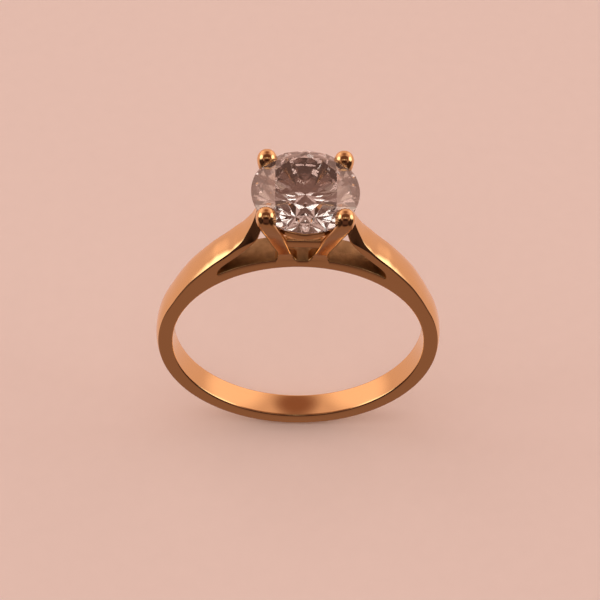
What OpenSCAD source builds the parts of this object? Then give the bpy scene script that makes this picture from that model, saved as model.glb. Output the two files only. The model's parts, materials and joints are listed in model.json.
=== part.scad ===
// Four-claw cathedral solitaire ring in yellow gold, with a round brilliant stone.
// Millimetres. Origin at the centre of the finger hole, +Y along the finger,
// +Z from the finger hole up to the stone, +X to the right shoulder.

/* [Band] */
// inside diameter of the finger hole
finger_d = 16.5; // [15:0.1:20]
// thickness of the band at its edge
band_t = 0.95; // [0.85:0.01:1.05]
// extra height of the band's crown along its middle
band_crown = 0.2; // [0.1:0.01:0.25]
// width of the band opposite the stone
band_w_bottom = 1.75; // [1.6:0.05:2]
// width of the band at the shoulders and of the finger rail
band_w_top = 2; // [1.9:0.05:2.2]
// thickness of the flat rail under the head
rail_t = 0.8; // [0.75:0.01:0.85]

/* [Head] */
// height of the girdle above the top of the finger hole
girdle_lift = 6; // [5.85:0.05:6.2]
// outside radius of the gallery ring
gallery_r = 2.45; // [2.35:0.01:2.55]
// width of one claw across its face
claw_w = 0.95; // [0.85:0.01:1.05]
// depth of one claw from its outer face to its inner face
claw_d = 0.84; // [0.75:0.01:0.9]

/* [Stone] */
// diameter of the stone at its girdle
stone_d = 6.5; // [6.2:0.05:6.7]
// width of the table across its corners, as a part of the diameter
table_ratio = 0.61; // [0.55:0.01:0.64]
// angle of the main crown facets to the girdle
crown_angle = 34.5; // [32:0.5:36]
// angle of the main pavilion facets to the girdle
pavilion_angle = 40.8; // [40:0.1:41.5]

/* [Hidden] */

// colours of polished 18 ct yellow gold and of a colourless stone
gold = [0.88, 0.62, 0.36];
gem = [0.86, 0.84, 0.88];

// facets of a full turn
round_fn = 128;

// finger hole, and how far it is from the size the shoulders are drawn at
hole_r = finger_d / 2;
drawn_hole_r = 8.25;
grow = hole_r - drawn_hole_r;

// outer radii of the band's edge, of its crown and of the flat rail
edge_r = hole_r + band_t;
crown_r = edge_r + band_crown;
rail_r = hole_r + rail_t;

// radius of the circle that rounds the crown across the band's width
crown_arc_r = (pow(band_w_top / 2, 2) + pow(band_crown, 2)) / (2 * band_crown);

// angles from the top of the ring where the band's crown ends against the
// shoulders, and where the band ends against the rail
foot_angle = 63;
rail_angle = 35.7;

// levels where the band reaches its two widths
narrow_z = -9.5;
wide_z = 6;

// stone: radius, girdle thickness, and the levels of its corners
stone_r = stone_d / 2;
girdle_t = 0.03 * stone_d;
girdle_z = hole_r + girdle_lift;
girdle_top = girdle_z + girdle_t / 2;
girdle_low = girdle_z - girdle_t / 2;
table_r = table_ratio * stone_r;
table_z = girdle_top + (stone_r - table_r) * tan(crown_angle);
star_r = (table_r * cos(22.5) + stone_r) / 2;
star_z = table_z - tan(crown_angle) * (star_r * cos(22.5) - table_r);
half_r = 0.23 * stone_r;
half_z = girdle_low - tan(pavilion_angle) * (stone_r - half_r * cos(22.5));
culet_z = girdle_low - tan(pavilion_angle) * stone_r;

// gallery ring: distance of its top and underside below the girdle's middle
gallery_top = girdle_z - 1.1;
gallery_low = girdle_z - 1.63;

// square frame that ties the claws lower down: half its outer size, the
// thickness of its bars, and the levels of its top and underside
frame_half = 1.6;
frame_bar = 0.43;
frame_top = girdle_z - 2.7;
frame_low = girdle_z - 3.35;

// Foot of the shoulder, where it stands on the band:
// [angle from the top, height of the crest's edge above the finger hole]
FOOT = [
    [63, 0.95], [58, 1.02], [53, 1.12], [48, 1.26], [44, 1.37], [40, 1.50], [35.7, 1.67]
];
// width of the crest along the foot, as a part of the band's width
foot_crest_w = 0.97;
// how far the crest's edge stands above the top of the side face there
foot_edge = 0.1;
// how far the foot is drawn into the band before the band is cut from it
foot_sunk = 0.1;

// Arm of the shoulder from the window's tip up to the head, for the drawn
// finger hole: [bottom x, bottom z, side top x, side top z, crest x, crest z,
// width of the crest and width of the sides as parts of the band's width]
ARM = [
    [5.25, 7.60, 5.55, 8.17, 5.62, 8.26, 0.97, 1],
    [5.15, 7.85, 5.36, 8.40, 5.42, 8.49, 0.97, 1],
    [5.00, 8.08, 5.15, 8.62, 5.20, 8.72, 0.965, 1],
    [4.70, 8.44, 4.80, 8.98, 4.85, 9.09, 0.95, 1],
    [4.40, 8.77, 4.48, 9.34, 4.52, 9.46, 0.93, 1],
    [4.10, 9.09, 4.21, 9.67, 4.25, 9.80, 0.91, 1],
    [3.80, 9.44, 3.98, 9.93, 4.02, 10.08, 0.88, 1],
    [3.55, 9.72, 3.79, 10.12, 3.83, 10.34, 0.83, 1],
    [3.35, 9.99, 3.62, 10.27, 3.66, 10.62, 0.76, 1],
    [3.18, 10.23, 3.45, 10.41, 3.50, 10.95, 0.67, 1],
    [3.03, 10.45, 3.27, 10.57, 3.33, 11.32, 0.57, 1],
    [2.90, 10.66, 3.10, 10.76, 3.18, 11.68, 0.47, 1],
    [2.79, 10.92, 2.96, 11.05, 3.06, 12.05, 0.38, 1],
    [2.68, 11.32, 2.85, 11.45, 2.96, 12.45, 0.31, 0.96],
    [2.56, 11.80, 2.74, 11.95, 2.88, 12.90, 0.27, 0.82],
    [2.42, 12.40, 2.61, 12.55, 2.81, 13.30, 0.24, 0.62]
];

// Claw sections of the right front claw, from its foot to its ball tip:
// [centre x, centre -y, level, half width, half depth, corner radius], the
// levels measured from the centre of the drawn finger hole
CLAW = [
    [1.01, 0.58, 8.40, 0.71, 0.42, 0.10],
    [1.00, 0.58, 8.90, 0.68, 0.42, 0.10],
    [1.025, 0.58, 9.05, 0.59, 0.42, 0.10],
    [1.065, 0.60, 9.25, 0.505, 0.42, 0.12],
    [1.11, 0.66, 9.50, 0.47, 0.42, 0.14],
    [1.17, 0.77, 9.80, 0.46, 0.42, 0.16],
    [1.32, 1.05, 10.50, 0.48, 0.42, 0.18],
    [1.51, 1.37, 11.30, 0.53, 0.42, 0.20],
    [1.665, 1.65, 12.00, 0.555, 0.42, 0.22],
    [1.86, 1.94, 12.75, 0.575, 0.43, 0.25],
    [2.10, 2.18, 13.50, 0.59, 0.47, 0.32],
    [2.24, 2.28, 14.00, 0.61, 0.54, 0.44],
    [2.31, 2.31, 14.35, 0.62, 0.60, 0.56],
    [2.33, 2.31, 14.60, 0.60, 0.59, 0.57],
    [2.33, 2.31, 14.82, 0.53, 0.52, 0.50],
    [2.33, 2.31, 14.98, 0.42, 0.41, 0.39],
    [2.33, 2.31, 15.09, 0.27, 0.26, 0.24],
    [2.33, 2.31, 15.14, 0.08, 0.08, 0.07]
];
// the sizes and the levels that the claw sections are drawn at
drawn_claw_w = 0.95;
drawn_claw_d = 0.84;
drawn_girdle_z = 14.25;
drawn_stone_r = 3.25;
claw_foot_z = 9;
// points on each rounded corner of a claw section
corner_points = 4;
claw_points = 4 * corner_points;

// half width of the band and the shoulders at a level
function side_y(z) =
    band_w_bottom / 2 + (band_w_top - band_w_bottom) / 2
    * min(1, max(0, (z - narrow_z) / (wide_z - narrow_z)));

// moves an arm point with the finger hole: outward near the foot, up at the head
function arm_part(x) = min(1, max(0, (x - 2.8) / 2.99));
function arm_x(x) = x + grow * sin(rail_angle) * arm_part(x);
function arm_z(x, z) = z + grow * (1 - (1 - cos(rail_angle)) * arm_part(x));

// a point at an angle from the top of the ring and a distance from its centre
function at_angle(a, r) = [r * sin(a), r * cos(a)];

// the seven corners of a shoulder section through its bottom b, the top s of
// its side face and the edge c of its crest
function section_corners(b, s, c, crest_part, side_part) =
    let (
        y = side_y(b[1]) * side_part,
        cy = crest_part * band_w_top / 2,
        lift = band_crown * pow(crest_part, 2),
        top = c + lift * c / norm(c)
    )
    [[b[0], -y, b[1]], [b[0], y, b[1]], [s[0], y, s[1]], [c[0], cy, c[1]],
     [top[0], 0, top[1]], [c[0], -cy, c[1]], [s[0], -y, s[1]]];

// a section of the foot, its bottom a little inside the band it stands on
function foot_section(a, edge) = section_corners(
    at_angle(a, rail_r - foot_sunk), at_angle(a, hole_r + edge - foot_edge),
    at_angle(a, hole_r + edge), foot_crest_w, 1);

// a section of the arm
function arm_section(s) = section_corners(
    [arm_x(s[0]), arm_z(s[0], s[1])], [arm_x(s[2]), arm_z(s[2], s[3])],
    [arm_x(s[4]), arm_z(s[4], s[5])], s[6], s[7]);

// the section that passes the window's tip, its bottom still inside the rail
function tip_section() = section_corners(
    at_angle(rail_angle - 0.8, rail_r - foot_sunk), at_angle(rail_angle - 0.8, hole_r + 1.63),
    at_angle(rail_angle - 0.8, hole_r + 1.73), foot_crest_w, 1);

// triangles of a tube of rings with n points each, closed at both ends
function tube_faces(rings, n) = concat(
    [[for (i = [0 : n - 1]) i]],
    [for (k = [0 : rings - 2]) for (i = [0 : n - 1])
        let (a = k * n + i, b = k * n + (i + 1) % n)
        [b, a, a + n]],
    [for (k = [0 : rings - 2]) for (i = [0 : n - 1])
        let (a = k * n + i, b = k * n + (i + 1) % n)
        [b, a + n, b + n]],
    [[for (i = [n - 1 : -1 : 0]) (rings - 1) * n + i]]
);

// one ring of a claw at the front right: a rectangle with rounded corners
function claw_ring(c) =
    let (
        part = min(1, max(0, (c[2] - claw_foot_z) / (drawn_girdle_z - claw_foot_z))),
        out = 1 + (stone_r / drawn_stone_r - 1) * part,
        half_w = c[3] * claw_w / drawn_claw_w,
        half_d = c[4] * claw_d / drawn_claw_d,
        z = c[2] + grow + (girdle_z - grow - drawn_girdle_z) * part
    )
    [for (q = [0 : 3]) for (i = [0 : corner_points - 1])
        let (
            a = 90 * q + 90 * i / (corner_points - 1),
            side_x = q == 0 || q == 3 ? 1 : -1,
            side_y = q < 2 ? 1 : -1,
            round_r = min(c[5], half_w - 0.002, half_d - 0.002)
        )
        [c[0] * out + side_x * (half_w - round_r) + round_r * cos(a),
         -c[1] * out + side_y * (half_d - round_r) + round_r * sin(a), z]];

// corner of the stone at a radius, an angle from +X and a level
function corner(r, a, z) = [r * cos(a), r * sin(a), z];

// a full turn of wall between two radii, lying round the finger
module wall(r_in, r_out) {
    rotate([90, 0, 0])
        difference() {
            cylinder(h = 2 * band_w_top, r = r_out, center = true, $fn = round_fn);
            cylinder(h = 3 * band_w_top, r = r_in, center = true, $fn = round_fn);
        }
}

// the crowned section of the band turned round the finger
module crowned_wall() {
    rotate([90, 0, 0])
        rotate_extrude($fn = round_fn)
            intersection() {
                translate([hole_r, -band_w_top])
                    square([band_t + band_crown, 2 * band_w_top]);
                translate([crown_r - crown_arc_r, 0])
                    circle(r = crown_arc_r, $fn = round_fn);
            }
}

// everything between the tapering side faces of the band
module between_sides() {
    reach = 2 * crown_r;
    rotate([90, 0, 90])
        linear_extrude(height = reach, center = true)
            polygon([
                [-band_w_bottom / 2, narrow_z - grow - 1],
                [band_w_bottom / 2, narrow_z - grow - 1],
                [band_w_bottom / 2, narrow_z],
                [band_w_top / 2, wide_z],
                [band_w_top / 2, reach],
                [-band_w_top / 2, reach],
                [-band_w_top / 2, wide_z],
                [-band_w_bottom / 2, narrow_z]
            ]);
}

// a wedge from the ring's centre upward, out to an angle on both sides
module top_wedge(angle) {
    reach = 2 * crown_r;
    rotate([90, 0, 0])
        linear_extrude(height = 4 * band_w_top, center = true)
            polygon([
                [0, 0],
                [reach * sin(angle), reach * cos(angle)],
                [0, 3 * reach],
                [-reach * sin(angle), reach * cos(angle)]
            ]);
}

// band: crowned round the bottom, flat where the shoulders stand on it
module finger_band() {
    color(gold)
        intersection() {
            between_sides();
            union() {
                difference() {
                    crowned_wall();
                    top_wedge(foot_angle);
                }
                difference() {
                    wall(hole_r, rail_r);
                    top_wedge(rail_angle);
                }
            }
        }
}

// flat rail that closes the finger hole under the head, with a shallow
// hollow across it between the claw feet
module finger_rail() {
    hollow_r = 0.42;
    hollow_depth = 0.15;
    color(gold)
        difference() {
            intersection() {
                between_sides();
                wall(hole_r, rail_r);
                top_wedge(rail_angle);
            }
            translate([0, 0, rail_r - hollow_depth + hollow_r])
                rotate([90, 0, 0])
                    cylinder(h = 2 * band_w_top, r = hollow_r, center = true, $fn = 64);
        }
}

// cathedral shoulder on the right: its foot stands on the band, and its arm's
// crest narrows to a blade at the head
module shoulder() {
    rings = concat(
        [for (f = FOOT) foot_section(f[0], f[1])],
        [tip_section()],
        [for (s = ARM) arm_section(s)]
    );
    difference() {
        polyhedron(
            points = [for (ring = rings) for (p = ring) p],
            faces = tube_faces(len(rings), 7),
            convexity = 6
        );
        rotate([90, 0, 0])
            cylinder(h = 2 * band_w_top, r = rail_r, center = true, $fn = round_fn);
        cylinder(h = 3 * crown_r, r = gallery_r, $fn = round_fn);
    }
}

module right_shoulder() {
    color(gold)
        shoulder();
}

module left_shoulder() {
    color(gold)
        mirror([1, 0, 0])
            shoulder();
}

// ring that ties the claws together below the girdle, its inner lip
// sloped to clear the stone's pavilion
module gallery_ring() {
    lip = 0.42;
    ring_w = 0.6;
    color(gold)
        rotate_extrude($fn = round_fn)
            polygon([
                [gallery_r - ring_w, gallery_low],
                [gallery_r, gallery_low],
                [gallery_r, gallery_top],
                [gallery_r - ring_w + lip, gallery_top],
                [gallery_r - ring_w, gallery_top - lip]
            ]);
}

// four straight bars in a square between the claws, below the gallery ring
module basket_bars() {
    for (a = [0 : 90 : 270])
        rotate([0, 0, a])
            translate([-frame_half, -frame_half, frame_low])
                cube([2 * frame_half, frame_bar, frame_top - frame_low]);
}

module basket_frame() {
    color(gold)
        basket_bars();
}

// one claw at the front right, seated on the rail, notched by the stone and
// let into the gallery ring and the basket frame
module claw() {
    rings = [for (c = CLAW) claw_ring(c)];
    difference() {
        polyhedron(
            points = [for (ring = rings) for (p = ring) p],
            faces = [for (f = tube_faces(len(rings), claw_points))
                [for (i = [len(f) - 1 : -1 : 0]) f[i]]],
            convexity = 6
        );
        rotate([90, 0, 0])
            cylinder(h = 4 * band_w_top, r = rail_r, center = true, $fn = round_fn);
        gallery_ring();
        basket_bars();
        stone();
    }
}

module front_right_claw() {
    color(gold)
        claw();
}

module front_left_claw() {
    color(gold)
        mirror([1, 0, 0])
            claw();
}

module back_right_claw() {
    color(gold)
        mirror([0, 1, 0])
            claw();
}

module back_left_claw() {
    color(gold)
        mirror([0, 1, 0])
            mirror([1, 0, 0])
                claw();
}

// round brilliant: table, 8 stars, 8 bezels, 16 upper halves, a sixteen-sided
// girdle, 16 lower halves and 8 pavilion mains
module stone() {
    // corners in eights: table, stars, girdle top under a bezel and between
    // bezels, girdle bottom likewise, lower halves, and the culet alone
    eighth = 45;
    main_at = 22.5;
    points = concat(
        [for (k = [0 : 7]) corner(table_r, main_at + eighth * k, table_z)],
        [for (k = [0 : 7]) corner(star_r, eighth * (k + 1), star_z)],
        [for (k = [0 : 7]) corner(stone_r, main_at + eighth * k, girdle_top)],
        [for (k = [0 : 7]) corner(stone_r, eighth * (k + 1), girdle_top)],
        [for (k = [0 : 7]) corner(stone_r, main_at + eighth * k, girdle_low)],
        [for (k = [0 : 7]) corner(stone_r, eighth * (k + 1), girdle_low)],
        [for (k = [0 : 7]) corner(half_r, eighth * (k + 1), half_z)],
        [[0, 0, culet_z]]
    );
    faces = concat(
        [[7, 6, 5, 4, 3, 2, 1, 0]],
        [for (k = [0 : 7]) [k, (k + 1) % 8, 8 + k]],
        [for (k = [0 : 7]) [k, 8 + k, 16 + k, 8 + (k + 7) % 8]],
        [for (k = [0 : 7]) [8 + k, 24 + k, 16 + k]],
        [for (k = [0 : 7]) [8 + k, 16 + (k + 1) % 8, 24 + k]],
        [for (k = [0 : 7]) [16 + k, 24 + k, 40 + k, 32 + k]],
        [for (k = [0 : 7]) [24 + k, 16 + (k + 1) % 8, 32 + (k + 1) % 8, 40 + k]],
        [for (k = [0 : 7]) [32 + k, 40 + k, 48 + k]],
        [for (k = [0 : 7]) [40 + k, 32 + (k + 1) % 8, 48 + k]],
        [for (k = [0 : 7]) [32 + k, 48 + k, 56, 48 + (k + 7) % 8]]
    );
    color(gem)
        polyhedron(points = points, faces = faces, convexity = 2);
}

finger_band();
finger_rail();
left_shoulder();
right_shoulder();
gallery_ring();
basket_frame();
front_left_claw();
front_right_claw();
back_left_claw();
back_right_claw();
stone();
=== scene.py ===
"""Four-claw cathedral solitaire ring in yellow gold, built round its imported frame."""
import json
import math

import bmesh
import bpy
from mathutils import Euler, Matrix, Vector


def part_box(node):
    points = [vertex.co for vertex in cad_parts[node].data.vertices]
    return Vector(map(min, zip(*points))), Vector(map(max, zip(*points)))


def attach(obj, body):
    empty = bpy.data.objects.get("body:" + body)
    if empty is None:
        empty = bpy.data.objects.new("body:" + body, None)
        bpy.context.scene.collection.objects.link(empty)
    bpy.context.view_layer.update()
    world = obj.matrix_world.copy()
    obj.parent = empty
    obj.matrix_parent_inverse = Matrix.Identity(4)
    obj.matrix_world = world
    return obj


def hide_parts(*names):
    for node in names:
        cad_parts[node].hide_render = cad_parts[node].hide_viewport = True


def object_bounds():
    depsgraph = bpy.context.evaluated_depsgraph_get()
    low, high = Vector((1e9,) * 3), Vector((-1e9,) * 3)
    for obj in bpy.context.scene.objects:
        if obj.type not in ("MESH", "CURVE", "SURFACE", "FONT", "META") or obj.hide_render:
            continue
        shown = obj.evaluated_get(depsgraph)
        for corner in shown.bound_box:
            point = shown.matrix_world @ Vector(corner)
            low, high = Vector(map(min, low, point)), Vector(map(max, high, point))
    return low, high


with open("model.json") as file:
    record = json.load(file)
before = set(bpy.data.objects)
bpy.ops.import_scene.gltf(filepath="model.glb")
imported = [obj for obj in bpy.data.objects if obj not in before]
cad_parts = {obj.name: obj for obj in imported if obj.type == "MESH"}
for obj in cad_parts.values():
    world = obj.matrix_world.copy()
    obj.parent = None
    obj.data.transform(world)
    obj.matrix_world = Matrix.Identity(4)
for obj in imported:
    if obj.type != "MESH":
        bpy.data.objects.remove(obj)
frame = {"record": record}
CAD_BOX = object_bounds()

bl_info = {
    "name": "Cathedral solitaire ring",
    "version": (1, 0, 0),
    "blender": (4, 5, 0),
    "location": "View3D > Sidebar > Ring",
    "description": "Builds a four-claw cathedral solitaire ring and a plain studio round it",
    "category": "Add Mesh",
}

MM = 0.001
BODY = "root"

# edges sharper than this stay sharp in the shading
SHARP_EDGE = math.radians(42)
# part of an edge that the rounding at one of its ends may take up
MOST_OF_EDGE = 0.48


# ---------------------------------------------------------------- properties

def finger_hole_diameter():
    """Inside diameter of the finger hole, from the ring's record."""
    for mount in frame["record"]["mounts"]:
        if mount["name"] == "finger_bore":
            return 2 * mount["dims"]["r_mm"] * MM
    raise RuntimeError("the record has no finger_bore mount")


class RingShape(bpy.types.PropertyGroup):
    """Sizes of the gold work."""

    finger_hole: bpy.props.FloatProperty(
        name="Finger hole", description="Inside diameter of the band",
        default=finger_hole_diameter(), min=0.014, max=0.022, subtype="DISTANCE")
    band_edge: bpy.props.FloatProperty(
        name="Band thickness", description="Thickness of the band at its edge",
        default=0.95 * MM, min=0.6 * MM, max=1.6 * MM, subtype="DISTANCE")
    band_crown: bpy.props.FloatProperty(
        name="Crown", description="Extra height of the band along its middle",
        default=0.2 * MM, min=0.0, max=0.4 * MM, subtype="DISTANCE")
    width_bottom: bpy.props.FloatProperty(
        name="Width at the bottom", description="Width of the band opposite the stone",
        default=1.75 * MM, min=1.2 * MM, max=3.0 * MM, subtype="DISTANCE")
    width_top: bpy.props.FloatProperty(
        name="Width at the top", description="Width of the shoulders and of the rail",
        default=2.0 * MM, min=1.4 * MM, max=3.0 * MM, subtype="DISTANCE")
    rail: bpy.props.FloatProperty(
        name="Rail thickness", description="Thickness of the rail under the head",
        default=0.8 * MM, min=0.5 * MM, max=1.2 * MM, subtype="DISTANCE")
    soft_edge: bpy.props.FloatProperty(
        name="Edge softness", description="Radius left on edges by polishing",
        default=0.12 * MM, min=0.02 * MM, max=0.2 * MM, subtype="DISTANCE")
    claw_width: bpy.props.FloatProperty(
        name="Claw width", description="Width of one claw across its face",
        default=0.95 * MM, min=0.6 * MM, max=1.3 * MM, subtype="DISTANCE")
    gallery_radius: bpy.props.FloatProperty(
        name="Gallery radius", description="Outside radius of the gallery ring",
        default=2.45 * MM, min=2.0 * MM, max=3.0 * MM, subtype="DISTANCE")


class StoneCut(bpy.types.PropertyGroup):
    """Proportions of the brilliant cut."""

    diameter: bpy.props.FloatProperty(
        name="Diameter", description="Diameter of the stone at its girdle",
        default=6.5 * MM, min=4 * MM, max=9 * MM, subtype="DISTANCE")
    table: bpy.props.FloatProperty(
        name="Table", description="Table width as a part of the diameter",
        default=0.61, min=0.5, max=0.66, subtype="FACTOR")
    crown_angle: bpy.props.FloatProperty(
        name="Crown angle", description="Angle of the bezel facets",
        default=math.radians(34.5), min=math.radians(30), max=math.radians(38), subtype="ANGLE")
    pavilion_angle: bpy.props.FloatProperty(
        name="Pavilion angle", description="Angle of the pavilion mains",
        default=math.radians(40.8), min=math.radians(39), max=math.radians(43), subtype="ANGLE")
    girdle: bpy.props.FloatProperty(
        name="Girdle", description="Girdle thickness as a part of the diameter",
        default=0.03, min=0.01, max=0.06, subtype="FACTOR")
    refraction: bpy.props.FloatProperty(
        name="Refraction", description="Index of refraction of the stone",
        default=2.417, min=1.5, max=2.7)


class Finish(bpy.types.PropertyGroup):
    """Colours and polish."""

    gold: bpy.props.FloatVectorProperty(
        name="Gold", description="Colour of the gold", subtype="COLOR",
        size=3, min=0, max=1, default=(0.87, 0.57, 0.28))
    gold_roughness: bpy.props.FloatProperty(
        name="Gold roughness", description="How far the polish falls short of a mirror",
        default=0.1, min=0, max=1, subtype="FACTOR")
    stone: bpy.props.FloatVectorProperty(
        name="Stone", description="Body colour of the stone", subtype="COLOR",
        size=3, min=0, max=1, default=(0.97, 0.905, 0.89))
    floor: bpy.props.FloatVectorProperty(
        name="Floor", description="Colour of the floor", subtype="COLOR",
        size=3, min=0, max=1, default=(0.9, 0.82, 0.8))


# ---------------------------------------------------------------- shader maths

class Value:
    """A node socket that reads as a number in Python."""

    def __init__(self, shader, socket):
        self.shader, self.socket = shader, socket

    def _maths(self, operation, *terms):
        return self.shader.node("ShaderNodeMath", {"operation": operation},
                                {i: t for i, t in enumerate(terms)})

    def __add__(self, other):
        return self._maths("ADD", self, other)

    __radd__ = __add__

    def __sub__(self, other):
        return self._maths("SUBTRACT", self, other)

    def __rsub__(self, other):
        return self._maths("SUBTRACT", other, self)

    def __mul__(self, other):
        return self._maths("MULTIPLY", self, other)

    __rmul__ = __mul__

    def clamp(self):
        return self.shader.node("ShaderNodeClamp", {}, {"Value": self})


class Shader:
    """A material's or world's node tree, added to one node at a time."""

    def __init__(self, owner):
        owner.use_nodes = True
        self.tree = owner.node_tree
        self.tree.nodes.clear()

    def node(self, kind, settings, sockets, output=0):
        """Adds a node, its settings first, then its sockets, and returns an output."""
        made = self.tree.nodes.new(kind)
        for name, value in settings.items():
            if name == "stops":
                self._stops(made.color_ramp, value)
            else:
                setattr(made, name, value)
        for name, value in sockets.items():
            socket = made.inputs[name]
            if isinstance(value, Value):
                self.tree.links.new(value.socket, socket)
            else:
                socket.default_value = value
        return None if output is None else Value(self, made.outputs[output])

    @staticmethod
    def _stops(ramp, stops):
        while len(ramp.elements) > 1:
            ramp.elements.remove(ramp.elements[-1])
        ramp.elements[0].position, ramp.elements[0].color = stops[0]
        for position, colour in stops[1:]:
            ramp.elements.new(position).color = colour

    def mix(self, factor, a, b, how="MIX"):
        """Blends or combines two colours, unclamped."""
        return self.node("ShaderNodeMix", {"data_type": "RGBA", "blend_type": how},
                         {0: factor, 6: a, 7: b}, 2)

    def noise(self, where, scale, detail=2.0, roughness=0.5):
        """Fractal noise from 0 to 1."""
        return self.node("ShaderNodeTexNoise", {}, {
            "Vector": where, "Scale": scale, "Detail": detail, "Roughness": roughness})

    def spots(self, where, scale, radius):
        """1 all over but for small spots that fall to 0."""
        near = self.node("ShaderNodeTexVoronoi", {}, {"Vector": where, "Scale": scale})
        return self.ramp(near, [(0.0, BLACK), (radius, WHITE)])

    def place(self):
        """Where a point lies on its piece, in millimetres."""
        metres = self.node("ShaderNodeTexCoord", {}, {}, "Object")
        return self.node("ShaderNodeVectorMath", {"operation": "SCALE"},
                         {0: metres, "Scale": 1 / MM})

    def ramp(self, factor, stops):
        """A colour ramp with its own stops."""
        return self.node("ShaderNodeValToRGB", {"stops": stops}, {"Fac": factor})

    def show(self, shader, kind="ShaderNodeOutputMaterial"):
        """Makes a shader the one that is seen."""
        self.node(kind, {}, {"Surface": shader}, None)


BLACK, WHITE = (0, 0, 0, 1), (1, 1, 1, 1)


def rgba(colour, part=1.0):
    """A colour with its alpha, darkened to a part of itself."""
    return (*(part * c for c in colour[:3]), 1.0)


def polished_gold():
    """Yellow gold, hand polished: fine hairlines, a little haze and rare tiny knocks."""
    made = bpy.data.materials.get("polished_yellow_gold")
    if made:
        return made
    look = bpy.context.scene.ring_finish
    made = bpy.data.materials.new("polished_yellow_gold")
    s = Shader(made)
    place = s.place()
    haze = s.noise(place, 0.6, 3.0)
    along = s.node("ShaderNodeMapping", {}, {"Vector": place, "Scale": (3.0, 22.0, 9.0)})
    hairs = s.noise(along, 1.0, 4.0, 0.6)
    knocks = s.spots(place, 2.2, 0.045)
    tone = s.mix(haze, rgba(look.gold, 0.97), rgba(look.gold))
    rough = look.gold_roughness * (0.75 + 0.5 * haze) + 0.03 * hairs
    bump = s.node("ShaderNodeBump", {}, {
        "Strength": 0.25, "Distance": 0.012 * MM,
        "Height": 0.6 * hairs + 0.4 * knocks + 0.5 * haze})
    s.show(s.node("ShaderNodeBsdfPrincipled", {}, {
        "Base Color": tone, "Metallic": 1.0, "Roughness": rough, "Normal": bump}))
    return made


def cast_gold_painted_shade():
    """The same gold as it leaves the mould, grained and pitted where no polisher reaches, with
    its colour darkened as painted shade for the recesses it is given to.
    """
    made = bpy.data.materials.get("cast_yellow_gold_painted_shade")
    if made:
        return made
    look = bpy.context.scene.ring_finish
    made = bpy.data.materials.new("cast_yellow_gold_painted_shade")
    s = Shader(made)
    place = s.place()
    grain = s.noise(place, 9.0, 4.0, 0.65)
    patches = s.noise(place, 1.8, 2.0)
    pits = s.spots(place, 6.0, 0.16)
    # painted shade: the gold's colour is darkened to between 0.3 and 0.62 of itself, varying at
    # random in patches
    tone = s.mix((1.5 * patches - 0.25).clamp(), rgba(look.gold, 0.3), rgba(look.gold, 0.62))
    bump = s.node("ShaderNodeBump", {}, {
        "Strength": 0.9, "Distance": 0.04 * MM, "Height": 0.7 * grain + 0.5 * pits})
    s.show(s.node("ShaderNodeBsdfPrincipled", {}, {
        "Base Color": tone, "Metallic": 1.0, "Roughness": 0.34 + 0.2 * grain, "Normal": bump}))
    return made


def leave_cast_painted_shade(piece, is_recess):
    """Gives the faces for which is_recess(centre, normal) holds the cast finish, whose darkened
    colour is painted shade.
    """
    piece.data.materials.append(cast_gold_painted_shade())
    for face in piece.data.polygons:
        if is_recess(face.center / MM, face.normal):
            face.material_index = 1


def faces_in_or_down(centre, normal):
    """Whether a face of the head looks at the ring's middle line or straight down, and so gets
    painted shade.
    """
    return normal.xy.dot(centre.xy) < -0.3 or normal.z < -0.8


def cut_stone():
    """Clear stone with a faint film of handling on its facets."""
    scene = bpy.context.scene
    made = bpy.data.materials.new("clear_brilliant")
    s = Shader(made)
    film = s.noise(s.place(), 0.9, 3.0)
    s.show(s.node("ShaderNodeBsdfPrincipled", {}, {
        "Base Color": rgba(scene.ring_finish.stone), "Roughness": 0.012 * (film - 0.5).clamp(),
        "IOR": scene.stone_cut.refraction, "Transmission Weight": 0.95,
        "Specular Tint": (1.0, 0.8, 0.72, 1.0)}))
    return made


# ---------------------------------------------------------------- curves and lofts

def smooth_rows(rows, per_gap):
    """A natural cubic through the rows, with per_gap steps between each two."""
    count, width = len(rows), len(rows[0])
    length = [0.0]
    for a, b in zip(rows, rows[1:]):
        length.append(length[-1] + max(1e-6, math.dist(a, b)))
    bends = []
    for k in range(width):
        y = [row[k] for row in rows]
        lower, diag, upper, right = [0.0] * count, [1.0] * count, [0.0] * count, [0.0] * count
        for i in range(1, count - 1):
            h0, h1 = length[i] - length[i - 1], length[i + 1] - length[i]
            lower[i], diag[i], upper[i] = h0, 2 * (h0 + h1), h1
            right[i] = 6 * ((y[i + 1] - y[i]) / h1 - (y[i] - y[i - 1]) / h0)
        for i in range(1, count):
            f = lower[i] / diag[i - 1]
            diag[i] -= f * upper[i - 1]
            right[i] -= f * right[i - 1]
        bend = [0.0] * count
        bend[-1] = right[-1] / diag[-1]
        for i in range(count - 2, -1, -1):
            bend[i] = (right[i] - upper[i] * bend[i + 1]) / diag[i]
        bends.append(bend)
    out = []
    for i in range(count - 1):
        h = length[i + 1] - length[i]
        for j in range(per_gap):
            t = j / per_gap
            a, b = 1 - t, t
            out.append([
                a * rows[i][k] + b * rows[i + 1][k]
                + ((a ** 3 - a) * bends[k][i] + (b ** 3 - b) * bends[k][i + 1]) * h * h / 6
                for k in range(width)])
    out.append(list(rows[-1]))
    return out


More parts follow.
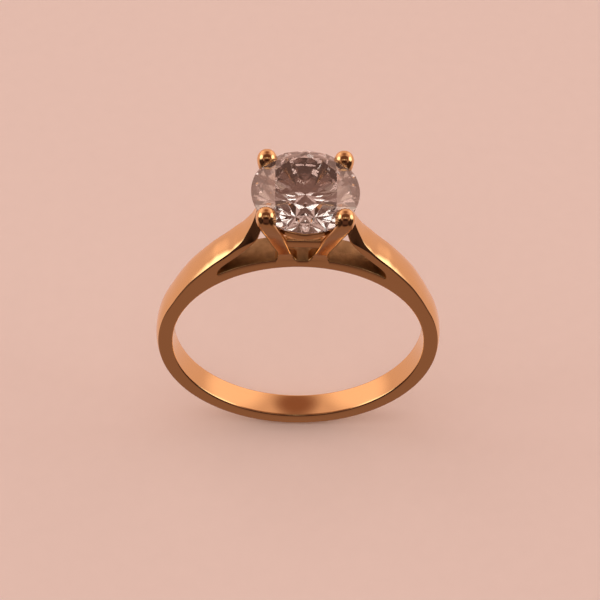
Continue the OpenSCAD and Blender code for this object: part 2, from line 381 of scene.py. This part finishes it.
def rounded_outline(corners, steps=4):
    """A closed outline with each corner (x, y, radius) rounded; radius 0 keeps the point.

    A rounding takes up at most MOST_OF_EDGE of the edges beside it.
    """
    out = []
    n = len(corners)
    for i in range(n):
        before, here, after = (Vector(corners[j % n][:2]) for j in (i - 1, i, i + 1))
        radius = corners[i][2]
        if radius <= 0:
            out.append(here)
            continue
        a, b = (before - here), (after - here)
        half = a.angle(b) / 2
        reach = min(radius / math.tan(half), MOST_OF_EDGE * a.length, MOST_OF_EDGE * b.length)
        radius = reach * math.tan(half)
        start, end = here + a.normalized() * reach, here + b.normalized() * reach
        middle = here + (a.normalized() + b.normalized()).normalized() * (radius / math.sin(half))
        first, last = start - middle, end - middle
        turn = first.angle_signed(last)
        for j in range(steps + 1):
            arm = first.copy()
            arm.rotate(Matrix.Rotation(-turn * j / steps, 2))
            out.append(middle + arm)
    return out


def loft(name, rings, material, closed=False):
    """A skin over rings of points in metres, all with the same count."""
    mesh = bmesh.new()
    rows = [[mesh.verts.new(p) for p in ring] for ring in rings]
    n = len(rings[0])
    pairs = list(zip(rows, rows[1:])) + ([(rows[-1], rows[0])] if closed else [])
    for a, b in pairs:
        for i in range(n):
            j = (i + 1) % n
            mesh.faces.new((a[i], a[j], b[j], b[i]))
    if not closed:
        mesh.faces.new(list(reversed(rows[0])))
        mesh.faces.new(rows[-1])
    bmesh.ops.recalc_face_normals(mesh, faces=mesh.faces)
    return piece_from(mesh, name, material)


def piece_from(mesh, name, material, smooth=True):
    """An object in the scene from a mesh under construction."""
    data = bpy.data.meshes.new(name)
    mesh.to_mesh(data)
    mesh.free()
    made = bpy.data.objects.new(name, data)
    bpy.context.scene.collection.objects.link(made)
    if smooth:
        data.polygons.foreach_set("use_smooth", [True] * len(data.polygons))
        data.set_sharp_from_angle(angle=SHARP_EDGE)
    data.materials.append(material)
    return made


def mirrored(piece, name, across):
    """A copy of a piece mirrored across X, Y or both."""
    data = piece.data.copy()
    made = bpy.data.objects.new(name, data)
    bpy.context.scene.collection.objects.link(made)
    flip = Matrix.Diagonal((-1 if "X" in across else 1, -1 if "Y" in across else 1, 1, 1))
    data.transform(flip)
    if len(across) == 1:
        data.flip_normals()
    return made


def fit_frame(piece, node):
    """Ties a piece to the ring's body and hides the frame node it stands for."""
    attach(piece, BODY)
    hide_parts(node)


# ---------------------------------------------------------------- ring proportions

# all in millimetres and degrees
# angles from the top where the crowned band meets the shoulders, and where the
# shoulders meet the rail
FOOT_ANGLE = 63.0
RAIL_ANGLE = 35.7
# levels between which the band widens
NARROW_Z = -9.5
WIDE_Z = 6.0

# foot of the shoulder: angle from the top, height of its crest above the hole
FOOT = [(58.0, 1.02), (53.0, 1.12), (48.0, 1.26), (44.0, 1.37), (40.0, 1.50), (35.7, 1.67)]
# width of the crest as a part of the band's width, drop from crest to side, and
# the least height of a side
FOOT_CREST = 0.97
SIDE_DROP = 0.1
LEAST_SIDE = 0.12
# radius on the edges of the finger hole, and on the edges of the arms and the rail's top
HOLE_EDGE = 0.12
FINE_EDGE = 0.07
# hollow across the rail between the claw feet: depth and half width
HOLLOW_DEPTH = 0.15
HOLLOW_HALF = 0.4
# how flat the crown of the crest is in the middle: 2 is a parabola
CROWN_POWER = 2.4
# arm of the shoulder: bottom x z, side top x z, crest x z, and the widths of
# the crest and of the sides as parts of the band's width
ARM = [
    (5.25, 7.60, 5.55, 8.17, 5.62, 8.26, 0.97, 1.0),
    (5.15, 7.85, 5.36, 8.40, 5.42, 8.49, 0.97, 1.0),
    (5.00, 8.08, 5.15, 8.62, 5.20, 8.72, 0.965, 1.0),
    (4.70, 8.44, 4.80, 8.98, 4.85, 9.09, 0.95, 1.0),
    (4.40, 8.77, 4.48, 9.34, 4.52, 9.46, 0.93, 1.0),
    (4.10, 9.09, 4.21, 9.67, 4.25, 9.80, 0.91, 1.0),
    (3.80, 9.44, 3.98, 9.93, 4.02, 10.08, 0.88, 1.0),
    (3.55, 9.72, 3.79, 10.12, 3.83, 10.34, 0.83, 1.0),
    (3.35, 9.99, 3.62, 10.27, 3.66, 10.62, 0.76, 1.0),
    (3.18, 10.23, 3.45, 10.41, 3.50, 10.95, 0.67, 1.0),
    (3.03, 10.45, 3.27, 10.57, 3.33, 11.32, 0.57, 1.0),
    (2.90, 10.66, 3.10, 10.76, 3.18, 11.68, 0.47, 1.0),
    (2.79, 10.92, 2.96, 11.05, 3.06, 12.05, 0.38, 1.0),
    (2.68, 11.32, 2.85, 11.45, 2.96, 12.45, 0.31, 0.96),
    (2.56, 11.80, 2.74, 11.95, 2.88, 12.90, 0.27, 0.82),
    (2.42, 12.40, 2.61, 12.55, 2.81, 13.30, 0.24, 0.62),
]
# claw: centre x, centre y outward, level, half width, half depth, corner radius,
# drawn for a claw width of DRAWN_CLAW_WIDTH
DRAWN_CLAW_WIDTH = 0.95
CLAW = [
    (1.01, 0.582, 8.40, 0.71, 0.42, 0.10),
    (1.00, 0.582, 8.90, 0.68, 0.42, 0.10),
    (1.025, 0.582, 9.05, 0.59, 0.42, 0.10),
    (1.065, 0.60, 9.25, 0.505, 0.42, 0.12),
    (1.11, 0.66, 9.50, 0.47, 0.42, 0.14),
    (1.17, 0.77, 9.80, 0.46, 0.42, 0.16),
    (1.32, 1.05, 10.50, 0.48, 0.42, 0.18),
    (1.51, 1.37, 11.30, 0.53, 0.42, 0.20),
    (1.665, 1.65, 12.00, 0.555, 0.42, 0.22),
    (1.86, 1.94, 12.75, 0.575, 0.43, 0.25),
    (2.10, 2.18, 13.50, 0.59, 0.47, 0.32),
    (2.24, 2.28, 14.00, 0.61, 0.54, 0.44),
    (2.31, 2.31, 14.35, 0.62, 0.60, 0.56),
    (2.33, 2.31, 14.60, 0.60, 0.59, 0.57),
    (2.33, 2.31, 14.82, 0.53, 0.52, 0.50),
    (2.33, 2.31, 14.98, 0.42, 0.41, 0.39),
    (2.33, 2.31, 15.09, 0.27, 0.26, 0.24),
    (2.33, 2.31, 15.14, 0.08, 0.08, 0.07),
]


def ring_shape():
    """The ring's sizes as set in the scene."""
    return bpy.context.scene.ring_shape


def half_width(z):
    """Half the width of the band and shoulders at a level, in millimetres."""
    shape = ring_shape()
    bottom, top = shape.width_bottom / MM / 2, shape.width_top / MM / 2
    return bottom + (top - bottom) * min(1.0, max(0.0, (z - NARROW_Z) / (WIDE_Z - NARROW_Z)))


def hole_radius():
    """Radius of the finger hole, in millimetres."""
    return ring_shape().finger_hole / MM / 2


def rail_radius():
    """Radius of the rail's top, in millimetres."""
    return hole_radius() + ring_shape().rail / MM


def at_angle(angle, radius):
    """A point in the XZ plane at an angle from the top."""
    a = math.radians(angle)
    return Vector((radius * math.sin(a), radius * math.cos(a)))


def crest_heights():
    """Angles from the top and crest heights, smooth from the plain band into the foot."""
    # two rows of plain band come first, so that the curve leaves it level
    plain = ring_shape().band_edge / MM
    lead = [(FOOT_ANGLE + 10, plain), (FOOT_ANGLE + 5, plain), (FOOT_ANGLE, plain)]
    return smooth_rows(lead + FOOT, 6)


def crest_height(angle, heights):
    """Height of the crest above the hole at an angle from the top, on either side."""
    angle = min(angle, 360 - angle)
    for (a, high), (b, low) in zip(heights, heights[1:]):
        if b <= angle <= a:
            return low + (high - low) * (angle - b) / (a - b)
    return heights[0][1]


def round_section(angle, heights):
    """Cross-section of the band or of a shoulder's foot at an angle from the top."""
    hole = hole_radius()
    high = hole + crest_height(angle, heights)
    wide = half_width(at_angle(angle, hole).y)
    crest_part = FOOT_CREST * wide * MM / (ring_shape().width_top / 2)
    return section(at_angle(angle, hole), at_angle(angle, high - SIDE_DROP),
                   at_angle(angle, high), crest_part, 1.0, HOLE_EDGE)


def section(bottom, side_top, crest, crest_part, side_part, inner_edge):
    """One cross-section of band or shoulder as points in metres.

    It runs in the plane of Y and the line from bottom to crest: flat bottom, flat sides up
    to side_top, a slope in to the crest's edge, and a crowned crest.
    """
    shape = ring_shape()
    soft = shape.soft_edge / MM
    up = crest - bottom
    tall = up.length
    up.normalize()
    side_h = max(LEAST_SIDE, (side_top - bottom).dot(up))
    wide = half_width(bottom.y) * side_part
    crest_y = crest_part * shape.width_top / MM / 2
    crown = shape.band_crown / MM * crest_part ** 2
    steps = 12
    arch = []
    for i in range(1, steps):
        y = crest_y * (1 - 2 * i / steps)
        arch.append((y, tall + crown * (1 - abs(y / crest_y) ** CROWN_POWER), 0.0))
    most = 0.45 * math.hypot(wide - crest_y, tall - side_h)
    fold, shoulder = min(soft, most), min(1.2 * soft, most)
    corners = ([(-wide, 0.0, inner_edge), (wide, 0.0, inner_edge), (wide, side_h, fold),
                (crest_y, tall, shoulder)] + arch
               + [(-crest_y, tall, shoulder), (-wide, side_h, fold)])
    return [Vector((bottom.x + up.x * h, y, bottom.y + up.y * h)) * MM
            for y, h in rounded_outline(corners)]


# ---------------------------------------------------------------- operators

class RING_OT_band(bpy.types.Operator):
    """Band round the finger, crowned outside and flat on its sides"""

    bl_idname = "ring.band"
    bl_label = "Band"

    def execute(self, context):
        heights = crest_heights()
        steps = 150
        turn = 360 - 2 * FOOT_ANGLE
        rings = [round_section(FOOT_ANGLE + turn * i / steps, heights) for i in range(steps + 1)]
        band = loft("finger_band", rings, polished_gold())
        fit_frame(band, "finger_band")
        return {"FINISHED"}


class RING_OT_rail(bpy.types.Operator):
    """Thin rail that closes the finger hole under the head"""

    bl_idname = "ring.rail"
    bl_label = "Finger rail"

    def execute(self, context):
        hole, rail = hole_radius(), rail_radius()
        wide = half_width(hole)
        rings = []
        steps = 120
        for i in range(steps + 1):
            angle = -RAIL_ANGLE + 2 * RAIL_ANGLE * i / steps
            x = hole * math.sin(math.radians(angle))
            top = rail - HOLLOW_DEPTH * math.exp(-(x / HOLLOW_HALF) ** 4)
            outline = rounded_outline([(-wide, hole, HOLE_EDGE), (wide, hole, HOLE_EDGE),
                                       (wide, top, FINE_EDGE), (-wide, top, FINE_EDGE)])
            up = at_angle(angle, 1.0)
            rings.append([Vector((up.x * h, y, up.y * h)) * MM for y, h in outline])
        made = loft("finger_rail", rings, polished_gold())
        # the rail's top, inside the windows, gets the cast finish with its painted shade
        leave_cast_painted_shade(made, lambda centre, normal: normal.z > 0.6)
        fit_frame(made, "finger_rail")
        return {"FINISHED"}


class RING_OT_shoulders(bpy.types.Operator):
    """Cathedral shoulders, left and right"""

    bl_idname = "ring.shoulders"
    bl_label = "Shoulders"

    def execute(self, context):
        hole, rail = hole_radius(), rail_radius()
        heights = crest_heights()
        rings = [round_section(a, heights) for a, h in heights if a <= FOOT_ANGLE + 1e-6]
        last_angle, last_height = FOOT[-1]
        tip = at_angle(RAIL_ANGLE, rail)
        side = at_angle(last_angle, hole + last_height - SIDE_DROP)
        crest = at_angle(last_angle, hole + last_height)
        rows = [(*tip, *side, *crest, FOOT_CREST, 1.0)] + ARM
        for row in smooth_rows(rows, 5):
            rings.append(section(Vector(row[0:2]), Vector(row[2:4]), Vector(row[4:6]),
                                 row[6], row[7], FINE_EDGE))
        right = loft("right_shoulder", rings, polished_gold())
        # the undersides of the arms get the cast finish with its painted shade
        leave_cast_painted_shade(right, lambda centre, normal: normal.z < -0.25
                   and math.hypot(centre.x, centre.z) > rail - 0.15)
        left = mirrored(right, "left_shoulder", "X")
        fit_frame(right, "right_shoulder")
        fit_frame(left, "left_shoulder")
        return {"FINISHED"}


class RING_OT_gallery(bpy.types.Operator):
    """Gallery ring that ties the claws under the girdle"""

    bl_idname = "ring.gallery"
    bl_label = "Gallery ring"

    def execute(self, context):
        low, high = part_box("gallery_ring")
        outer, bottom, top = ring_shape().gallery_radius / MM, low[2] / MM, high[2] / MM
        # wall of the ring, and the slope from its inner edge up to its top
        wall, lip = 0.6, 0.42
        outline = rounded_outline([
            (outer - wall, bottom, 0.05), (outer, bottom, 0.12), (outer, top, 0.14),
            (outer - wall + lip, top, 0.06), (outer - wall, top - lip, 0.06)])
        steps = 96
        rings = []
        for i in range(steps):
            a = 2 * math.pi * i / steps
            rings.append([Vector((x * math.cos(a), x * math.sin(a), z)) * MM for x, z in outline])
        ring = loft("gallery_ring", rings, polished_gold(), closed=True)
        # faces looking in or down get the cast finish with its painted shade
        leave_cast_painted_shade(ring, faces_in_or_down)
        fit_frame(ring, "gallery_ring")
        return {"FINISHED"}


class RING_OT_basket(bpy.types.Operator):
    """Square frame of straight bars that ties the claws lower down"""

    bl_idname = "ring.basket"
    bl_label = "Basket frame"

    def execute(self, context):
        low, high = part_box("basket_frame")
        outer, bottom, top = high[0] / MM, low[2] / MM, high[2] / MM
        # thickness of a bar, and the bend round each corner of the frame
        bar, bend = 0.43, 0.1
        outline = rounded_outline([
            (-bar, bottom, FINE_EDGE), (0, bottom, FINE_EDGE), (0, top, FINE_EDGE),
            (-bar, top, FINE_EDGE)])
        steps = 4
        rings = []
        for corner in range(4):
            diagonal = math.radians(90 * corner + 45)
            centre = Vector((math.cos(diagonal), math.sin(diagonal))) * math.sqrt(2)
            centre *= outer - bend
            for step in range(steps + 1):
                a = math.radians(90 * corner + 90 * step / steps)
                rings.append([Vector((centre.x + (bend + out) * math.cos(a),
                                      centre.y + (bend + out) * math.sin(a), z)) * MM
                              for out, z in outline])
        frame_piece = loft("basket_frame", rings, polished_gold(), closed=True)
        # faces looking in or down get the cast finish with its painted shade
        leave_cast_painted_shade(frame_piece, faces_in_or_down)
        fit_frame(frame_piece, "basket_frame")
        return {"FINISHED"}


class RING_OT_claws(bpy.types.Operator):
    """Four claws, from their feet on the rail to their rounded tips over the stone"""

    bl_idname = "ring.claws"
    bl_label = "Claws"

    def execute(self, context):
        wider = ring_shape().claw_width / MM / DRAWN_CLAW_WIDTH
        # least half width or depth, least flat beside a rounded corner, least corner radius
        thinnest, least_flat, finest = 0.03, 0.004, 0.02
        per_corner = 7
        rings = []
        for x, y, z, wide, deep, soft in smooth_rows(CLAW, 5):
            wide, deep = max(thinnest, wide * wider), max(thinnest, deep)
            soft = max(finest, min(soft, wide - least_flat, deep - least_flat))
            ring = []
            for side_x, side_y, start in ((1, 1, 0), (-1, 1, 90), (-1, -1, 180), (1, -1, 270)):
                for i in range(per_corner):
                    a = math.radians(start + 90 * i / (per_corner - 1))
                    ring.append(Vector((
                        x + side_x * (wide - soft) + soft * math.cos(a),
                        -y + side_y * (deep - soft) + soft * math.sin(a), z)) * MM)
            rings.append(ring)
        claw = loft("front_right_claw", rings, polished_gold())
        # the claw's side towards the stone, below the tip, gets the cast finish with its painted
        # shade
        leave_cast_painted_shade(claw, lambda centre, normal: normal.y > 0.6 and centre.z < 13)
        fit_frame(claw, "front_right_claw")
        for name, across in (("front_left_claw", "X"), ("back_right_claw", "Y"),
                             ("back_left_claw", "XY")):
            fit_frame(mirrored(claw, name, across), name)
        return {"FINISHED"}


# half the angle between two of the eight mains, and how near the lower halves come to
# the centre as a part of the stone's radius
HALF_MAIN = 22.5
LOWER_HALVES_END = 0.23
GIRDLE_SIDES = 128
# how far off a facet's plane a corner may be, and how near two corners become one, in metres
CLOSE = 1e-8
MERGED = 2e-7


class RING_OT_stone(bpy.types.Operator):
    """Round brilliant stone, cut facet by facet from a cylinder"""

    bl_idname = "ring.stone"
    bl_label = "Stone"

    def execute(self, context):
        cut = context.scene.stone_cut
        low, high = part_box("stone")
        radius = cut.diameter / 2
        crown, pavilion = math.tan(cut.crown_angle), math.tan(cut.pavilion_angle)
        table_r = cut.table * radius
        table_z = high[2]
        girdle_top = table_z - (radius - table_r) * crown
        girdle_low = girdle_top - cut.girdle * cut.diameter
        mesh = bmesh.new()
        bmesh.ops.create_cone(mesh, cap_ends=True, segments=GIRDLE_SIDES, radius1=radius,
                              radius2=radius, depth=3 * radius)
        bmesh.ops.translate(mesh, verts=mesh.verts, vec=(0, 0, girdle_top))

        def grind(point, normal):
            """Takes off everything beyond a plane and polishes a facet there."""
            geometry = mesh.verts[:] + mesh.edges[:] + mesh.faces[:]
            result = bmesh.ops.bisect_plane(mesh, geom=geometry, plane_co=point,
                                            plane_no=normal, clear_outer=True, dist=CLOSE)
            edges = [e for e in result["geom_cut"] if isinstance(e, bmesh.types.BMEdge)]
            if edges:
                bmesh.ops.contextual_create(mesh, geom=edges)

        def facet_through(a, b, c):
            normal = (b - a).cross(c - a).normalized()
            if normal.dot(a - Vector((0, 0, girdle_top))) < 0:
                normal.negate()
            grind(a, normal)

        def corner(r, degrees, z):
            a = math.radians(degrees)
            return Vector((r * math.cos(a), r * math.sin(a), z))

        half = math.cos(math.radians(HALF_MAIN))
        star_r = (table_r * half + radius) / 2
        star_z = table_z - crown * (star_r * half - table_r)
        lower_r = LOWER_HALVES_END * radius
        lower_z = girdle_low - pavilion * (radius - lower_r * half)
        culet = Vector((0, 0, girdle_low - pavilion * radius))
        grind(Vector((0, 0, table_z)), Vector((0, 0, 1)))
        for k in range(8):
            main, between, next_main = (HALF_MAIN * (2 * k + n) for n in (1, 2, 3))
            facet_through(corner(table_r, main, table_z), corner(radius, main, girdle_top),
                          corner(star_r, between, star_z))
            facet_through(corner(table_r, main, table_z), corner(table_r, next_main, table_z),
                          corner(star_r, between, star_z))
            for side in (main, next_main):
                facet_through(corner(star_r, between, star_z), corner(radius, side, girdle_top),
                              corner(radius, between, girdle_top))
                facet_through(corner(lower_r, between, lower_z), corner(radius, side, girdle_low),
                              corner(radius, between, girdle_low))
            facet_through(culet, corner(radius, main, girdle_low),
                          corner(lower_r, between, lower_z))
        bmesh.ops.remove_doubles(mesh, verts=mesh.verts, dist=MERGED)
        bmesh.ops.dissolve_degenerate(mesh, edges=mesh.edges, dist=CLOSE)
        bmesh.ops.recalc_face_normals(mesh, faces=mesh.faces)
        stone = piece_from(mesh, "stone", cut_stone(), smooth=False)
        fit_frame(stone, "stone")
        return {"FINISHED"}


# gap under the ring, and where the camera stands, in millimetres and degrees
FLOOR_GAP = 0.02
CAMERA_AZIMUTH = -2.32
CAMERA_ELEVATION = 51.98
CAMERA_ROLL = 3.0
CAMERA_LENS = 102.2
CAMERA_REACH = 110
CAMERA_AIM = (0.01, 0.0, 3.71)


class RING_OT_studio(bpy.types.Operator):
    """Plain pale floor, soft lights and the camera"""

    bl_idname = "ring.studio"
    bl_label = "Studio"

    def execute(self, context):
        scene = context.scene
        mesh = bmesh.new()
        bmesh.ops.create_grid(mesh, x_segments=1, y_segments=1, size=1.0)
        floor = piece_from(mesh, "floor", floor_finish(), smooth=False)
        floor.location.z = CAD_BOX[0][2] - FLOOR_GAP * MM
        floor.visible_glossy = False
        self.overhead_light(scene)
        scene.world = studio_sky()
        self.camera(scene)
        scene.view_settings.view_transform = "Standard"
        return {"FINISHED"}

    def overhead_light(self, scene):
        """A broad soft light for the floor alone; neither gold nor stone shows it."""
        data = bpy.data.lights.new("overhead_light", "SUN")
        data.energy = 0.76
        data.angle = math.radians(70)
        data.color = (1.0, 0.76, 0.67)
        light = bpy.data.objects.new("overhead_light", data)
        light.rotation_euler = Euler((math.radians(12), math.radians(-10), 0))
        light.location.z = CAD_BOX[0][2] + 0.5
        light.visible_glossy = False
        light.visible_transmission = False
        scene.collection.objects.link(light)

    def camera(self, scene):
        """A camera in front of and above the ring, turned a little on its own axis."""
        az, el, roll = (math.radians(a) for a in (CAMERA_AZIMUTH, CAMERA_ELEVATION, CAMERA_ROLL))
        back = Vector((math.sin(az) * math.cos(el), -math.cos(az) * math.cos(el), math.sin(el)))
        across = Vector((0, 0, 1)).cross(back).normalized()
        up = back.cross(across)
        x = math.cos(roll) * across + math.sin(roll) * up
        y = -math.sin(roll) * across + math.cos(roll) * up
        data = bpy.data.cameras.new("camera")
        data.lens = CAMERA_LENS
        data.sensor_width = 36.0
        data.clip_start = 0.001
        camera = bpy.data.objects.new("camera", data)
        scene.collection.objects.link(camera)
        turn = Matrix((x, y, back)).transposed().to_4x4()
        stand = Vector(CAMERA_AIM) * MM + back * CAMERA_REACH * MM
        camera.matrix_world = Matrix.Translation(stand) @ turn
        scene.camera = camera


# light from every side, then soft round changes to it. Each has an azimuth from +Y towards
# +X, an elevation, the radius of its full strength and the radius where it ends, all in
# degrees, and a colour. Shades multiply the light and lights add to it.
SKY_BASE = (0.8, 0.5, 0.41)
SKY_SHADES = [
    (180, -68, 36, 56, (0.34, 0.29, 0.27)),
    (180, -3, 30, 46, (0.13, 0.1, 0.11)),
    (122, -12, 24, 38, (0.065, 0.053, 0.053)),
    (-122, -12, 24, 38, (0.065, 0.053, 0.053)),
    (0, 54, 6, 22, (0.36, 0.24, 0.19)),
    (180, 62, 38, 56, (0.19, 0.13, 0.11)),
]
SKY_LIGHTS = [
    (180, 50, 3, 11, (0.75, 0.68, 0.6)),
    (150, 44, 3, 14, (0.36, 0.26, 0.2)),
    (-150, 44, 3, 14, (0.36, 0.26, 0.2)),
    (90, 18, 13, 27, (1.7, 1.65, 1.5)),
    (-90, 18, 13, 27, (1.7, 1.65, 1.5)),
    (46, 20, 12, 30, (0.46, 0.34, 0.28)),
    (-46, 20, 12, 30, (0.46, 0.34, 0.28)),
]


def studio_sky():
    """Soft light all round, shaded in front and overhead and bright at both sides."""
    made = bpy.data.worlds.new("studio_sky")
    s = Shader(made)
    way = s.node("ShaderNodeTexCoord", {}, {}, "Generated")

    def patch(azimuth, elevation, inner, outer):
        """1 within inner degrees of a direction, falling softly to 0 at outer degrees."""
        a, e = math.radians(azimuth), math.radians(elevation)
        aim = (math.sin(a) * math.cos(e), math.cos(a) * math.cos(e), math.sin(e))
        near = s.node("ShaderNodeVectorMath", {"operation": "DOT_PRODUCT"}, {0: way, 1: aim},
                      "Value")
        return s.node("ShaderNodeMapRange", {"interpolation_type": "SMOOTHSTEP"}, {
            "Value": near, "From Min": math.cos(math.radians(outer)),
            "From Max": math.cos(math.radians(inner))})

    light = rgba(SKY_BASE)
    for azimuth, elevation, inner, outer, part in SKY_SHADES:
        light = s.mix(patch(azimuth, elevation, inner, outer), light, rgba(part), "MULTIPLY")
    for azimuth, elevation, inner, outer, glow in SKY_LIGHTS:
        light = s.mix(patch(azimuth, elevation, inner, outer), light, rgba(glow), "ADD")
    back = s.node("ShaderNodeBackground", {}, {"Color": light, "Strength": 1.0})
    s.show(back, "ShaderNodeOutputWorld")
    return made


def floor_finish():
    """Matt card."""
    look = bpy.context.scene.ring_finish
    made = bpy.data.materials.new("matt_card")
    s = Shader(made)
    grain = s.noise(s.node("ShaderNodeTexCoord", {}, {}, "Object"), 900.0, 2.0)
    tone = s.mix(grain, rgba(look.floor, 0.97), rgba(look.floor))
    s.show(s.node("ShaderNodeBsdfPrincipled", {}, {"Base Color": tone, "Roughness": 0.9}))
    return made


class RING_PT_panel(bpy.types.Panel):
    """Lists the ring's sizes and its pieces"""

    bl_idname = "RING_PT_panel"
    bl_label = "Ring"
    bl_space_type = "VIEW_3D"
    bl_region_type = "UI"
    bl_category = "Ring"

    def draw(self, context):
        scene = context.scene
        for group in (scene.ring_shape, scene.stone_cut, scene.ring_finish):
            box = self.layout.box()
            for name in group.__annotations__:
                box.prop(group, name)
        for step in STEPS:
            self.layout.operator(step.bl_idname)


STEPS = (RING_OT_band, RING_OT_rail, RING_OT_shoulders, RING_OT_gallery, RING_OT_basket,
         RING_OT_claws, RING_OT_stone, RING_OT_studio)
GROUPS = (RingShape, StoneCut, Finish)


def register():
    for made in GROUPS + STEPS + (RING_PT_panel,):
        bpy.utils.register_class(made)
    bpy.types.Scene.ring_shape = bpy.props.PointerProperty(type=RingShape)
    bpy.types.Scene.stone_cut = bpy.props.PointerProperty(type=StoneCut)
    bpy.types.Scene.ring_finish = bpy.props.PointerProperty(type=Finish)


def unregister():
    del bpy.types.Scene.ring_shape, bpy.types.Scene.stone_cut, bpy.types.Scene.ring_finish
    for made in reversed(GROUPS + STEPS + (RING_PT_panel,)):
        bpy.utils.unregister_class(made)


def main():
    register()
    for step in STEPS:
        group, name = step.bl_idname.split(".")
        getattr(getattr(bpy.ops, group), name)()
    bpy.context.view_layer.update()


if __name__ == "__main__":
    main()
